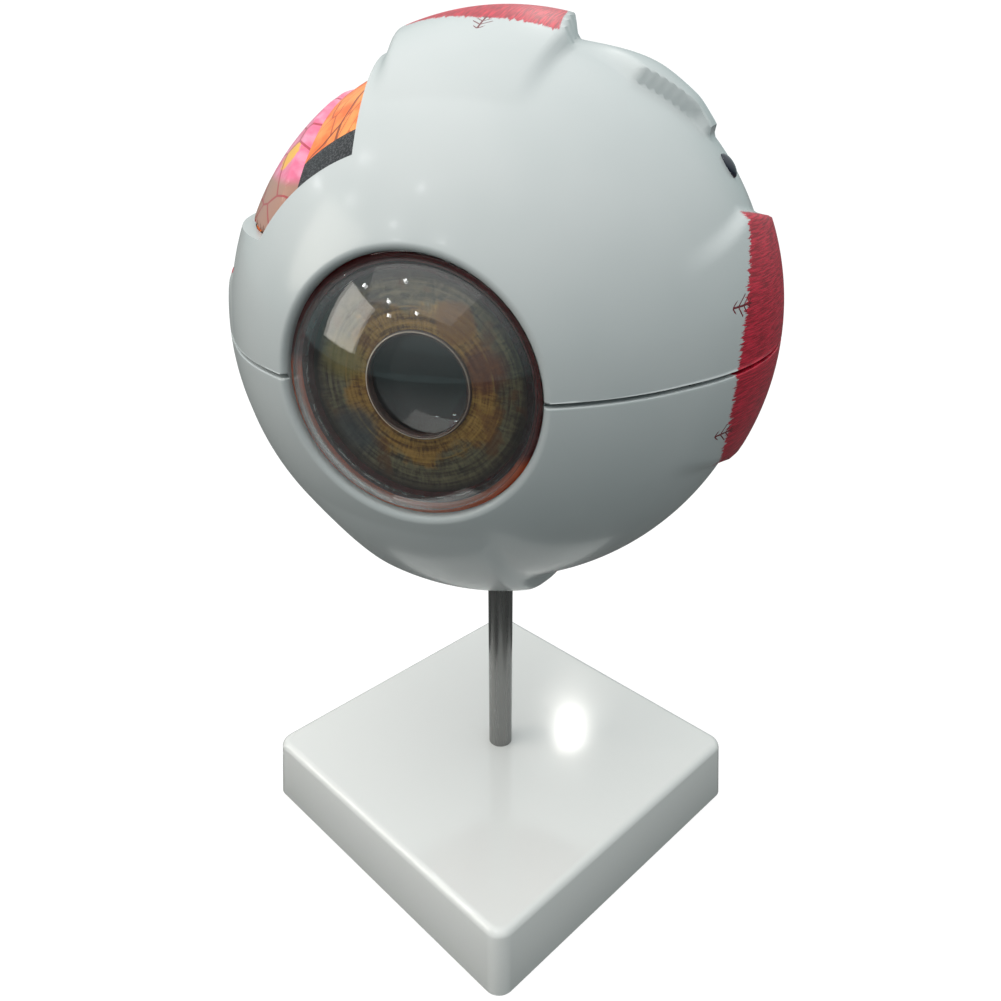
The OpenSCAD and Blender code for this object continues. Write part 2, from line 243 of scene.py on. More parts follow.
def half_shell(outer, inner, front_profile, upper, rise=None, rings=180, steps=210):
    """A half shell in the eyeball's own frame: its section spun half a turn about the optical axis."""
    bm = bmesh.new()
    start = math.atan2(front_profile[0][0], -front_profile[0][1])
    end = math.atan2(front_profile[-1][0], -front_profile[-1][1])
    section = [(outer * math.sin(a), -outer * math.cos(a))
               for a in (math.pi + (start - math.pi) * i / rings for i in range(rings))]
    section += front_profile
    section += [(inner * math.sin(a), -inner * math.cos(a))
                for a in (end + (math.pi - end) * (i + 1) / 40 for i in range(40))]
    verts = [bm.verts.new((r if abs(r) > 1e-6 else 0.0, y, 0)) for r, y in section]
    edges = [bm.edges.new(pair) for pair in zip(verts, verts[1:])]
    bmesh.ops.spin(bm, geom=verts + edges, cent=(0, 0, 0), axis=(0, -1 if upper else 1, 0), dvec=(0, 0, 0),
                   angle=math.pi, steps=steps, use_merge=False, use_duplicate=False)
    bmesh.ops.remove_doubles(bm, verts=bm.verts, dist=0.002)
    seam = [e for e in bm.edges if e.is_boundary]
    bmesh.ops.contextual_create(bm, geom=seam)
    if rise:
        for vert in bm.verts:
            if vert.co.length > outer - 0.05 and vert.co.y > -outer * 0.9:
                vert.co *= 1 + rise(vert.co) / outer
    bmesh.ops.recalc_face_normals(bm, faces=bm.faces)
    return bm


def cut_shell(bm, cutters):
    """Cuts the closed solids in cutters out of bm, all in the eyeball's own frame."""
    body_mesh = bpy.data.meshes.new("cut body")
    bm.to_mesh(body_mesh)
    bm.free()
    body = bpy.data.objects.new("cut body", body_mesh)
    bpy.context.scene.collection.objects.link(body)
    tools = []
    for cutter in cutters:
        bmesh.ops.recalc_face_normals(cutter, faces=cutter.faces)
        tool_mesh = bpy.data.meshes.new("cutter")
        cutter.to_mesh(tool_mesh)
        cutter.free()
        tool = bpy.data.objects.new("cutter", tool_mesh)
        bpy.context.scene.collection.objects.link(tool)
        modifier = body.modifiers.new("cut", "BOOLEAN")
        modifier.object, modifier.operation, modifier.solver = tool, "DIFFERENCE", "EXACT"
        tools.append(tool)
    bpy.context.view_layer.update()
    result = bpy.data.meshes.new_from_object(body.evaluated_get(bpy.context.evaluated_depsgraph_get()))
    out = bmesh.new()
    out.from_mesh(result)
    for unused in [body] + tools:
        bpy.data.objects.remove(unused)
    return out


def rod_cutter(radius, low, high):
    bm = bmesh.new()
    bmesh.ops.create_cone(bm, cap_ends=True, segments=64, radius1=radius, radius2=radius, depth=high - low)
    bmesh.ops.translate(bm, vec=(0, 0, (low + high) / 2), verts=bm.verts)
    return bm


def nerve_cutter(radius):
    bm = rod_cutter(radius, 40, 110)
    bmesh.ops.rotate(bm, cent=(0, 0, 0), matrix=Matrix.Rotation(-math.pi / 2, 3, "X"), verts=bm.verts)
    bmesh.ops.rotate(bm, cent=(0, 0, 0), matrix=Matrix.Rotation(-math.radians(15), 3, "Z"), verts=bm.verts)
    return bm


def window_cutter(edge):
    """What is cut from a shell for the window; edge is its distance from the middle plane, in front and behind."""
    bm = bmesh.new()
    corners = [(-edge[0], window_front), (-edge[1], window_rear), (-150, window_rear), (-150, window_front)]
    base_face = bm.faces.new([bm.verts.new((x, y, window_floor)) for x, y in corners])
    walls = bmesh.ops.extrude_face_region(bm, geom=[base_face])
    bmesh.ops.translate(bm, vec=(0, 0, 100), verts=[g for g in walls["geom"] if isinstance(g, bmesh.types.BMVert)])
    return bm


def calc(material, operation, *values, clamp=False):
    node = add_node(material, "ShaderNodeMath", operation=operation, use_clamp=clamp)
    for socket, value in zip(node.inputs, values):
        if isinstance(value, (int, float)):
            socket.default_value = value
        else:
            join(material, value, socket)
    return node.outputs[0]


def mix_colour(material, mask, low, high):
    node = add_node(material, "ShaderNodeMix", data_type="RGBA")
    for socket, value in ((node.inputs["Factor"], mask), (node.inputs["A"], low), (node.inputs["B"], high)):
        if isinstance(value, (int, float)):
            socket.default_value = value
        elif isinstance(value, tuple):
            socket.default_value = (*value, 1)
        else:
            join(material, value, socket)
    return node.outputs["Result"]


def combine(material, x, y, z=0.0):
    """A vector put together from numbers or outputs, such as the coordinates of a surface laid flat."""
    node = add_node(material, "ShaderNodeCombineXYZ")
    for socket, value in zip(node.inputs, (x, y, z)):
        if isinstance(value, (int, float)):
            socket.default_value = value
        else:
            join(material, value, socket)
    return node.outputs["Vector"]


def eye_vector(material):
    """The material's coordinates in the eyeball's own frame, in millimetres."""
    mapping = add_node(material, "ShaderNodeMapping", vector_type="TEXTURE")
    mapping.inputs["Location"].default_value = (0, 0, eye_height)
    mapping.inputs["Rotation"].default_value = (0, 0, eye_turn)
    mapping.inputs["Scale"].default_value = (0.001, 0.001, 0.001)
    join(material, add_node(material, "ShaderNodeTexCoord").outputs["Object"], mapping.inputs["Vector"])
    return mapping.outputs["Vector"]


def branch_mask(material, along, across, at_along, at_across):
    """A small painted artery: a stem with short slanted branches on both sides."""
    u = calc(material, "SUBTRACT", along, at_along)
    v = calc(material, "ABSOLUTE", calc(material, "SUBTRACT", across, at_across))
    stem = calc(material, "MULTIPLY", calc(material, "LESS_THAN", v, 0.24),
                calc(material, "LESS_THAN", calc(material, "ABSOLUTE", u), 3.4))
    slant = calc(material, "SUBTRACT", u, calc(material, "MULTIPLY", v, 0.9))
    line = calc(material, "LESS_THAN", calc(material, "FRACT", calc(material, "DIVIDE", slant, 1.9)), 0.24)
    taper = calc(material, "ABSOLUTE", calc(material, "MULTIPLY", u, 0.55))
    reach = calc(material, "LESS_THAN", v, calc(material, "SUBTRACT", 2.6, taper))
    near = calc(material, "LESS_THAN", calc(material, "ABSOLUTE", u), 3.6)
    twigs = calc(material, "MULTIPLY", calc(material, "MULTIPLY", line, reach), near)
    return calc(material, "MAXIMUM", stem, twigs)


sclera_paint = plain_material("sclera plastic", (0.54, 0.57, 0.575), 0.27, Coat_Weight=0.25, Coat_Roughness=0.12)
strip = add_node(sclera_paint, "ShaderNodeAttribute", attribute_name="strip")
parts = add_node(sclera_paint, "ShaderNodeSeparateXYZ")
join(sclera_paint, strip.outputs["Vector"], parts.inputs["Vector"])
along, across, inside = parts.outputs
fibre_vector = combine(sclera_paint, calc(sclera_paint, "MULTIPLY", along, 0.07), across)
fibres = noise(sclera_paint, fibre_vector, 2.4, 4.0, 0.6)
brush_vector = combine(sclera_paint, calc(sclera_paint, "MULTIPLY", along, 0.10), across)
brush = noise(sclera_paint, brush_vector, 1.1, 5.0, 0.75)
edge_shift = calc(sclera_paint, "MULTIPLY", calc(sclera_paint, "SUBTRACT", brush, 0.5), 9.0)
edge = calc(sclera_paint, "ADD", along, edge_shift)
red_along = ramp(sclera_paint, edge, -0.25, 0.25)
side_shift = calc(sclera_paint, "MULTIPLY", edge_shift, 0.15)
red_side = ramp(sclera_paint, calc(sclera_paint, "ADD", inside, side_shift), 0.4, 0.9)
red_mask = calc(sclera_paint, "MULTIPLY", red_along, red_side)
muscle_red = mix_colour(sclera_paint, ramp(sclera_paint, fibres, 0.38, 0.62),
                        (0.30, 0.004, 0.018), (0.66, 0.016, 0.05))
marks = calc(sclera_paint, "MAXIMUM", branch_mask(sclera_paint, along, across, -1.4, 15.5),
             calc(sclera_paint, "MAXIMUM", branch_mask(sclera_paint, along, across, -1.0, -14.7),
                  branch_mask(sclera_paint, along, across, -2.4, 98.0)))
sclera_eye = eye_vector(sclera_paint)
sclera_tone = noise(sclera_paint, sclera_eye, 0.03, 2.0)
white = mix_colour(sclera_paint, ramp(sclera_paint, sclera_tone, 0.35, 0.65),
                   (0.535, 0.56, 0.565), (0.56, 0.58, 0.585))
painted = mix_colour(sclera_paint, red_mask, white, muscle_red)
painted = mix_colour(sclera_paint, marks, painted, (0.16, 0.004, 0.012))
join(sclera_paint, painted, sclera_paint.node_tree.nodes["Principled BSDF"].inputs["Base Color"])
join(sclera_paint, calc(sclera_paint, "ADD", 0.27, calc(sclera_paint, "MULTIPLY", red_mask, 0.12)),
     sclera_paint.node_tree.nodes["Principled BSDF"].inputs["Roughness"])
join(sclera_paint, calc(sclera_paint, "MULTIPLY", calc(sclera_paint, "SUBTRACT", 1.0, red_mask), 0.25),
     sclera_paint.node_tree.nodes["Principled BSDF"].inputs["Coat Weight"])
bump(sclera_paint, calc(sclera_paint, "MULTIPLY", fibres, red_mask), 0.25, 0.0003)

lip_r = opening_r + lip_round
lip_y = math.sqrt((sclera_r - lip_round) ** 2 - lip_r ** 2)
sclera_in = sclera_r - sclera_wall
edge_round = 1.4   # the lip's own rounding, tighter than the one the parts behind it are set out from
edge_r, edge_y = opening_r + edge_round, math.sqrt((sclera_r - edge_round) ** 2 - (opening_r + edge_round) ** 2)
edge_start = math.atan2(edge_y, edge_r)
sclera_front = [(edge_r + edge_round * math.cos(a), -edge_y - edge_round * math.sin(a))
                for a in (edge_start + (math.pi - edge_start) * i / 10 for i in range(11))]
sclera_front.append((opening_r, -math.sqrt(sclera_in ** 2 - opening_r ** 2)))
seam_step = 1.1


def finish_sclera(name, bm, upper, body, replaced):
    layer = bm.verts.layers.float_vector.new("strip")
    for vert in bm.verts:
        best = None   # the side walls of the upper muscle stay white
        for roll, start, height, tag, rows in muscles:
            out, spread, within, slope = muscle_coords(vert.co, roll, rows)
            if best is None or within > best[2]:
                best = (vert.co.y - red_edge(spread, tag), spread + tag, within)
        vert[layer] = (best[0], best[1], best[2] - (2.4 if 60 < best[1] < 140 else 0.0))
    seam_edges = [e for e in bm.edges if all(abs(v.co.z) < 1e-4 for v in e.verts) and e.calc_face_angle(0) > 1.0
                  and min(v.co.length for v in e.verts) > sclera_in + 1.2]
    bmesh.ops.bevel(bm, geom=seam_edges, offset=0.35, affect="EDGES", segments=3, profile=0.5, material=-1)
    if upper:
        for vert in bm.verts:
            if vert.co.z < seam_step and vert.co.length > sclera_in + 1.2:
                vert.co.z = seam_step
    for edge in bm.edges:
        edge.smooth = edge.calc_face_angle(0) < math.radians(40)
    bmesh.ops.transform(bm, matrix=eye_place, verts=bm.verts)
    return make_piece(name, bm, sclera_paint, body, replaced)


lower = half_shell(sclera_r, sclera_in, sclera_front, False, sclera_rise)
lower = cut_shell(lower, [rod_cutter(sleeve_hole_r, -90, -60), nerve_cutter(nerve_hole_r)])
finish_sclera("sclera_lower_half", lower, False, "eyeball", "sclera_lower")
upper = half_shell(sclera_r, sclera_in, sclera_front, True, sclera_rise)
upper = cut_shell(upper, [window_cutter((15.9, 37)), nerve_cutter(nerve_hole_r)])
finish_sclera("sclera_upper_half", upper, True, "upper_sclera", "sclera_upper")

# ---------------------------------------------------------------------------------------------
# Socket: the tube moulded inside the lower half that takes the rod's sleeve. It is of the same
# white plastic, bored for the sleeve from below and closed at its inner end.
bm = rod_cutter(9.05, -69, -45.5)
bm = cut_shell(bm, [rod_cutter(sleeve_hole_r, -80, -48)])
for edge in bm.edges:
    edge.smooth = edge.calc_face_angle(0) < math.radians(40)
bmesh.ops.transform(bm, matrix=eye_place, verts=bm.verts)
make_piece("rod_socket", bm, sclera_paint, "eyeball")

# ---------------------------------------------------------------------------------------------
# Choroid: thin orange shells with a printed net of vessels, a dark speckled band by the front
# edge, and a flat collar behind the cornea. The upper one ends inside the sclera's window.
choroid_paint = plain_material("choroid print", (0.8, 0.2, 0.05), 0.38,
                               Specular_IOR_Level=0.25, Coat_Weight=0.12, Coat_Roughness=0.1)
choroid_eye = eye_vector(choroid_paint)
choroid_parts = add_node(choroid_paint, "ShaderNodeSeparateXYZ")
join(choroid_paint, choroid_eye, choroid_parts.inputs["Vector"])
choroid_roll = calc(choroid_paint, "ARCTAN2", choroid_parts.outputs["Z"], choroid_parts.outputs["X"])
choroid_warp = calc(choroid_paint, "MULTIPLY", noise(choroid_paint, choroid_eye, 0.06, 1.0), 1.1)
choroid_lean = calc(choroid_paint, "MULTIPLY", choroid_parts.outputs["Y"], 0.05)
choroid_round = calc(choroid_paint, "ADD", calc(choroid_paint, "MULTIPLY", choroid_roll, 5.6),
                     calc(choroid_paint, "ADD", choroid_warp, choroid_lean))
choroid_along = calc(choroid_paint, "MULTIPLY", choroid_parts.outputs["Y"], 0.034)
choroid_flat = combine(choroid_paint, choroid_round, calc(choroid_paint, "ADD", choroid_along, choroid_warp))

vessel_net = bpy.data.node_groups.new("vessel net", "ShaderNodeTree")
for socket_name, kind in (("Vector", "NodeSocketVector"), ("Scale", "NodeSocketFloat"), ("Width", "NodeSocketFloat")):
    vessel_net.interface.new_socket(socket_name, in_out="INPUT", socket_type=kind)
vessel_net.interface.new_socket("Mask", in_out="OUTPUT", socket_type="NodeSocketFloat")
net_in, net_out = vessel_net.nodes.new("NodeGroupInput"), vessel_net.nodes.new("NodeGroupOutput")
net_cells = vessel_net.nodes.new("ShaderNodeTexVoronoi")
net_cells.feature, net_cells.voronoi_dimensions = "DISTANCE_TO_EDGE", "2D"
net_core = vessel_net.nodes.new("ShaderNodeMath")
net_core.operation = "MULTIPLY"
net_core.inputs[1].default_value = 0.5
net_line = vessel_net.nodes.new("ShaderNodeMapRange")
net_line.interpolation_type = "SMOOTHSTEP"
net_line.inputs["To Min"].default_value, net_line.inputs["To Max"].default_value = 1.0, 0.0
for output, socket in ((net_in.outputs["Vector"], net_cells.inputs["Vector"]),
                       (net_in.outputs["Scale"], net_cells.inputs["Scale"]),
                       (net_in.outputs["Width"], net_core.inputs[0]),
                       (net_core.outputs[0], net_line.inputs["From Min"]),
                       (net_in.outputs["Width"], net_line.inputs["From Max"]),
                       (net_cells.outputs["Distance"], net_line.inputs["Value"]),
                       (net_line.outputs["Result"], net_out.inputs["Mask"])):
    vessel_net.links.new(output, socket)


def vessel_mask(material, vector, scale, width):
    """The printed net of vessels on flat coordinates, from the group that choroid and retina share."""
    net = add_node(material, "ShaderNodeGroup", node_tree=vessel_net)
    join(material, vector, net.inputs["Vector"])
    net.inputs["Scale"].default_value = scale
    net.inputs["Width"].default_value = width
    return net.outputs["Mask"]


large = vessel_mask(choroid_paint, choroid_flat, 1.05, 0.04)
small = vessel_mask(choroid_paint, choroid_flat, 2.2, 0.05)
orange = mix_colour(choroid_paint, ramp(choroid_paint, noise(choroid_paint, choroid_eye, 0.16), 0.35, 0.65),
                    (0.90, 0.155, 0.025), (1.0, 0.33, 0.085))
orange = mix_colour(choroid_paint, calc(choroid_paint, "MULTIPLY", small, 0.7), orange, (0.42, 0.055, 0.02))
orange = mix_colour(choroid_paint, calc(choroid_paint, "MULTIPLY", large, 0.85), orange, (0.16, 0.035, 0.018))
band_in = calc(choroid_paint, "LESS_THAN", choroid_parts.outputs["Y"], -41.2)
speckle = mix_colour(choroid_paint, ramp(choroid_paint, noise(choroid_paint, choroid_eye, 2.2, 5.0), 0.45, 0.62),
                     (0.008, 0.008, 0.010), (0.07, 0.068, 0.075))
orange = mix_colour(choroid_paint, band_in, orange, speckle)
# Painted light and shade on the collar: bright orange where it lies low, as if lit, and dark maroon where it lies high,
# as painted shade under the sclera's lip; the line between them leans across the eyeball.
ring_in = calc(choroid_paint, "LESS_THAN", choroid_parts.outputs["Y"], -57.0)
collar_shade_lean = calc(choroid_paint, "MULTIPLY", choroid_parts.outputs["X"], 0.33)
collar_shade_height = calc(choroid_paint, "ADD", choroid_parts.outputs["Z"], collar_shade_lean)
collar_lit_and_shaded = mix_colour(choroid_paint, ramp(choroid_paint, collar_shade_height, -8.0, -3.0),
                         (0.95, 0.17, 0.05), (0.16, 0.018, 0.018))
join(choroid_paint, mix_colour(choroid_paint, ring_in, orange, collar_lit_and_shaded),
     choroid_paint.node_tree.nodes["Principled BSDF"].inputs["Base Color"])
bump(choroid_paint, calc(choroid_paint, "MULTIPLY", large, calc(choroid_paint, "SUBTRACT", 1.0, band_in)), 0.2, -0.0002)
choroid_out, choroid_in = 68.7, 67.7
collar_y, collar_in, collar_t = lip_y - 0.9, 27.2, 2.6
choroid_front = [(math.sqrt(choroid_out ** 2 - collar_y ** 2), -collar_y), (collar_in, -collar_y),
                 (collar_in, -collar_y + collar_t),
                 (math.sqrt(choroid_in ** 2 - (collar_y - collar_t) ** 2), -collar_y + collar_t)]


def finish_shell(name, bm, material, body, replaced):
    for edge in bm.edges:
        edge.smooth = edge.calc_face_angle(0) < math.radians(35)
    bmesh.ops.transform(bm, matrix=eye_place, verts=bm.verts)
    return make_piece(name, bm, material, body, replaced)


bm = half_shell(choroid_out, choroid_in, choroid_front, False, rings=72, steps=96)
finish_shell("choroid_lower_shell", cut_shell(bm, [rod_cutter(socket_hole_r, -80, -40), nerve_cutter(nerve_hole_r)]), choroid_paint,
             "eyeball", "choroid_lower")
bm = half_shell(choroid_out, choroid_in, choroid_front, True, rings=72, steps=96)
finish_shell("choroid_upper_shell", cut_shell(bm, [window_cutter((33.2, 36.5)), nerve_cutter(nerve_hole_r)]), choroid_paint,
             "upper_choroid", "choroid_upper")

# ---------------------------------------------------------------------------------------------
# Retina: a glossy pink lining with red vessels and a yellow spot printed on it, and the brown
# ciliary body that stands around the lens.
retina_paint = plain_material("retina print", (0.85, 0.28, 0.42), 0.3,
                              Specular_IOR_Level=0.3, Coat_Weight=0.2, Coat_Roughness=0.05)
retina_eye = eye_vector(retina_paint)
retina_spot = add_node(retina_paint, "ShaderNodeVectorMath", operation="DISTANCE")
join(retina_paint, retina_eye, retina_spot.inputs[0])
retina_spot.inputs[1].default_value = (-40.9, -34.4, 44.5)
retina_patch = noise(retina_paint, retina_eye, 0.22, 3.0)
retina_yellow = ramp(retina_paint, calc(retina_paint, "ADD", retina_spot.outputs["Value"],
                                        calc(retina_paint, "MULTIPLY", retina_patch, 7.0)), 7.0, 8.0, 1.0, 0.0)
pink = mix_colour(retina_paint, ramp(retina_paint, retina_patch, 0.4, 0.65), (0.84, 0.17, 0.31), (0.90, 0.32, 0.48))
pink = mix_colour(retina_paint, retina_yellow, pink, (0.95, 0.50, 0.06))
retina_parts = add_node(retina_paint, "ShaderNodeSeparateXYZ")
join(retina_paint, retina_eye, retina_parts.inputs["Vector"])
retina_roll = calc(retina_paint, "ARCTAN2", retina_parts.outputs["Z"], retina_parts.outputs["X"])
retina_round = calc(retina_paint, "MULTIPLY", retina_roll, 4.0)
retina_along = calc(retina_paint, "ADD", calc(retina_paint, "MULTIPLY", retina_parts.outputs["Y"], 0.04),
                    calc(retina_paint, "MULTIPLY", retina_parts.outputs["Z"], 0.05))
retina_vessels = vessel_mask(retina_paint, combine(retina_paint, retina_round, retina_along), 1.2, 0.035)
retina_low = ramp(retina_paint, retina_parts.outputs["Z"], 38.5, 41.0, 1.0, 0.0)
pink = mix_colour(retina_paint, retina_low, pink, (0.46, 0.24, 0.18))
pink = mix_colour(retina_paint, calc(retina_paint, "MULTIPLY", retina_vessels, 0.8), pink, (0.42, 0.03, 0.05))
join(retina_paint, pink, retina_paint.node_tree.nodes["Principled BSDF"].inputs["Base Color"])
retina_out, retina_in, retina_front_y = 67.5, 66.5, 50.5
retina_front = [(math.sqrt(r ** 2 - retina_front_y ** 2), -retina_front_y) for r in (retina_out, retina_in)]
bm = half_shell(retina_out, retina_in, retina_front, False, rings=60, steps=96)
finish_shell("retina_lower_lining", cut_shell(bm, [rod_cutter(socket_hole_r, -80, -40), nerve_cutter(nerve_hole_r)]), retina_paint,
             "eyeball", "retina_lower")


def retina_rise(point):
    """In the window, where the choroid is cut away, the lining stands as far out as the choroid does."""
    edge = 34.0 + 0.037 * (point.y - window_front)
    return (2.3 * soft(-point.x - edge, 1.2) * soft(point.z - 27.9, 0.5) * soft(34 - point.y, 3.0)
            * soft(point.y + 51.5, 1.0))


bm = half_shell(retina_out, retina_in, retina_front, True, retina_rise, rings=120, steps=140)
finish_shell("retina_upper_lining", cut_shell(bm, [nerve_cutter(nerve_hole_r)]), retina_paint, "upper_choroid",
             "retina_upper")
ciliary_paint = plain_material("ciliary body", (0.10, 0.03, 0.018), 0.5)
nerve_paint = plain_material("optic nerve", (0.80, 0.52, 0.12), 0.45)
sheath_paint = plain_material("nerve sheath", (0.79, 0.76, 0.62), 0.35)
artery_paint = plain_material("artery", (0.5, 0.01, 0.012), 0.3)
vein_paint = plain_material("vein", (0.012, 0.014, 0.03), 0.12, Coat_Weight=0.6)
for node_name, finish in (("ciliary_lower", ciliary_paint), ("ciliary_upper", ciliary_paint),
                          ("optic_nerve", nerve_paint), ("nerve_sheath", sheath_paint),
                          ("retinal_artery", artery_paint), ("retinal_vein", vein_paint)):
    nodes[node_name].data.materials.clear()
    nodes[node_name].data.materials.append(finish)

# ---------------------------------------------------------------------------------------------
# Vortex vein: a glossy black stub, longer than it is wide, where a vein leaves the sclera. It is
# a small plastic bead, bonded to the shell by the window.
vein_roll, vein_theta = math.radians(36.3), math.radians(86)
bm = bmesh.new()
bmesh.ops.create_uvsphere(bm, u_segments=32, v_segments=20, radius=2.8)
bmesh.ops.scale(bm, vec=(0.72, 0.5, 1.15), verts=bm.verts)
bmesh.ops.translate(bm, vec=(0, -sclera_r, 0), verts=bm.verts)
bmesh.ops.rotate(bm, cent=(0, 0, 0), matrix=Matrix.Rotation(vein_theta, 3, "Z"), verts=bm.verts)
bmesh.ops.rotate(bm, cent=(0, 0, 0), matrix=Matrix.Rotation(-vein_roll, 3, "Y"), verts=bm.verts)
finish_shell("vortex_vein_stub", bm, vein_paint, "upper_sclera", "vortex_vein")

# ---------------------------------------------------------------------------------------------
# Vitreous body and lens: clear castings. The vitreous has a faint pink tint and fills the eyeball
# behind the lens, which is a thick disc with two polished curves and lies loose in front of it.
clear = plain_material("clear plastic", (0.97, 0.98, 0.98), 0.02, Transmission_Weight=1.0, IOR=1.46)
vitreous_clear = plain_material("vitreous plastic", (0.86, 0.66, 0.66), 0.04, Transmission_Weight=1.0, IOR=1.34)


def lathe(name, section, material, body, replaced, steps=128, closed=True):
    """A turned piece: the section in (radius, place on the optical axis) spun about that axis."""
    bm = bmesh.new()
    verts = [bm.verts.new((r, y, 0)) for r, y in section]
    edges = [bm.edges.new(pair) for pair in zip(verts, verts[1:] + (verts[:1] if closed else []))]
    bmesh.ops.spin(bm, geom=verts + edges, cent=(0, 0, 0), axis=(0, -1, 0), dvec=(0, 0, 0), angle=2 * math.pi,
                   steps=steps, use_merge=True, use_duplicate=False)
    bmesh.ops.remove_doubles(bm, verts=bm.verts, dist=0.001)
    bmesh.ops.recalc_face_normals(bm, faces=bm.faces)
    return finish_shell(name, bm, material, body, replaced)


def arc(radius, centre_y, from_r, to_r, front, count):
    """Points of a circle about (0, centre_y), from one radius to another, on its front or rear side."""
    side = -1 if front else 1
    places = [from_r + (to_r - from_r) * i / count for i in range(count + 1)]
    return [(r, centre_y + side * math.sqrt(radius ** 2 - r ** 2)) for r in places]


iris_y = lip_y - 0.7 - 2.0
lens_r, lens_bulge, lens_back, lens_edge = 25.5, 8.0, 10.5, 3.0
lens_y = -(iris_y - 1.2 - lens_bulge - lens_edge / 2 - 1.2)
curve_front = (lens_r ** 2 + lens_bulge ** 2) / (2 * lens_bulge)
curve_back = (lens_r ** 2 + lens_back ** 2) / (2 * lens_back)
lens_section = arc(curve_front, lens_y - lens_edge / 2 - lens_bulge + curve_front, 0, lens_r, True, 24)
lens_section += arc(curve_back, lens_y + lens_edge / 2 + lens_back - curve_back, lens_r, 0, False, 24)
lathe("lens_casting", lens_section, clear, "lens_body", "lens", closed=False)
nodes["vitreous_body"].data.materials.clear()
nodes["vitreous_body"].data.materials.append(vitreous_clear)

# ---------------------------------------------------------------------------------------------
# Iris: a cup that carries a glossy print with fine radial strokes, grey-olive outside and
# yellow-brown near the pupil, and a raised ring around the pupil with a painted highlight on it.
iris_paint = plain_material("iris print", (0.1, 0.09, 0.05), 0.35,
                            Specular_IOR_Level=0.3, Coat_Weight=0.2, Coat_Roughness=0.1)
iris_eye = eye_vector(iris_paint)
iris_parts = add_node(iris_paint, "ShaderNodeSeparateXYZ")
join(iris_paint, iris_eye, iris_parts.inputs["Vector"])
ix, iy, iz = iris_parts.outputs
iris_radius = calc(iris_paint, "SQRT", calc(iris_paint, "ADD", calc(iris_paint, "MULTIPLY", ix, ix),
                                              calc(iris_paint, "MULTIPLY", iz, iz)))
iris_angle = calc(iris_paint, "ARCTAN2", iz, ix)


def around_pupil(turn_scale, radius_scale):
    """Coordinates on the print: two that turn around the pupil, and one that runs outwards from it."""
    return combine(iris_paint, calc(iris_paint, "MULTIPLY", calc(iris_paint, "COSINE", iris_angle), turn_scale),
                   calc(iris_paint, "MULTIPLY", calc(iris_paint, "SINE", iris_angle), turn_scale),
                   calc(iris_paint, "MULTIPLY", iris_radius, radius_scale))


strokes = noise(iris_paint, around_pupil(14.0, 0.22), 1.9, 6.0, 0.7)
rings = noise(iris_paint, around_pupil(1.1, 0.85), 1.3, 3.0, 0.6)
cloud = noise(iris_paint, iris_eye, 0.11, 4.0, 0.6)
zone_shift = calc(iris_paint, "MULTIPLY", calc(iris_paint, "SUBTRACT", cloud, 0.5), 16.0)
zone_radius = calc(iris_paint, "ADD", iris_radius, zone_shift)
zone = ramp(iris_paint, zone_radius, 17.0, 19.5)
fine = calc(iris_paint, "ADD", calc(iris_paint, "MULTIPLY", strokes, 0.45), calc(iris_paint, "MULTIPLY", rings, 0.55))
inner_brown = mix_colour(iris_paint, ramp(iris_paint, fine, 0.36, 0.64), (0.10, 0.044, 0.012), (0.48, 0.27, 0.07))
outer_olive = mix_colour(iris_paint, ramp(iris_paint, fine, 0.36, 0.64), (0.045, 0.034, 0.025), (0.23, 0.20, 0.115))
iris_colour = mix_colour(iris_paint, zone, inner_brown, outer_olive)
blotch = ramp(iris_paint, noise(iris_paint, iris_eye, 0.15, 3.0, 0.5), 0.56, 0.66)
iris_colour = mix_colour(iris_paint, calc(iris_paint, "MULTIPLY", blotch, 0.6), iris_colour, (0.15, 0.058, 0.022))


def iris_patch(at, radius, blur):
    """A hand-laid patch of colour around a place on the print, given in millimetres, with a ragged edge."""
    place = add_node(iris_paint, "ShaderNodeVectorMath", operation="DISTANCE")
    join(iris_paint, iris_eye, place.inputs[0])
    place.inputs[1].default_value = (at[0], -iris_y, at[1])
    return ramp(iris_paint, calc(iris_paint, "ADD", place.outputs["Value"], calc(iris_paint, "MULTIPLY", cloud, 5.0)),
                radius + 2.5 - blur, radius + 2.5 + blur, 0.85, 0.0)


for at, radius, blur, patch_low, patch_high in (
        ((15.2, 5.0), 5.0, 2.2, (0.05, 0.014, 0.010), (0.26, 0.085, 0.055)),
        ((8.9, 14.6), 4.2, 0.8, (0.10, 0.03, 0.008), (0.42, 0.20, 0.05)),
        ((-18.0, 4.5), 5.0, 2.0, (0.12, 0.08, 0.02), (0.42, 0.34, 0.12)),
        ((-16.0, -12.5), 5.5, 2.5, (0.02, 0.022, 0.026), (0.13, 0.15, 0.16))):
    iris_colour = mix_colour(iris_paint, iris_patch(at, radius, blur), iris_colour,
                             mix_colour(iris_paint, fine, patch_low, patch_high))
line_gap = calc(iris_paint, "ABSOLUTE", calc(iris_paint, "SUBTRACT", iris_radius, 17.6))
line_ring = ramp(iris_paint, line_gap, 0.0, 0.35, 0.5, 0.0)
line_ring = calc(iris_paint, "MULTIPLY", line_ring, ramp(iris_paint, cloud, 0.42, 0.6))
iris_colour = mix_colour(iris_paint, line_ring, iris_colour, (0.42, 0.27, 0.08))
outer_edge = calc(iris_paint, "MULTIPLY", ramp(iris_paint, iris_radius, 22.5, 25.6), 0.85)
iris_colour = mix_colour(iris_paint, outer_edge, iris_colour, (0.020, 0.011, 0.010))
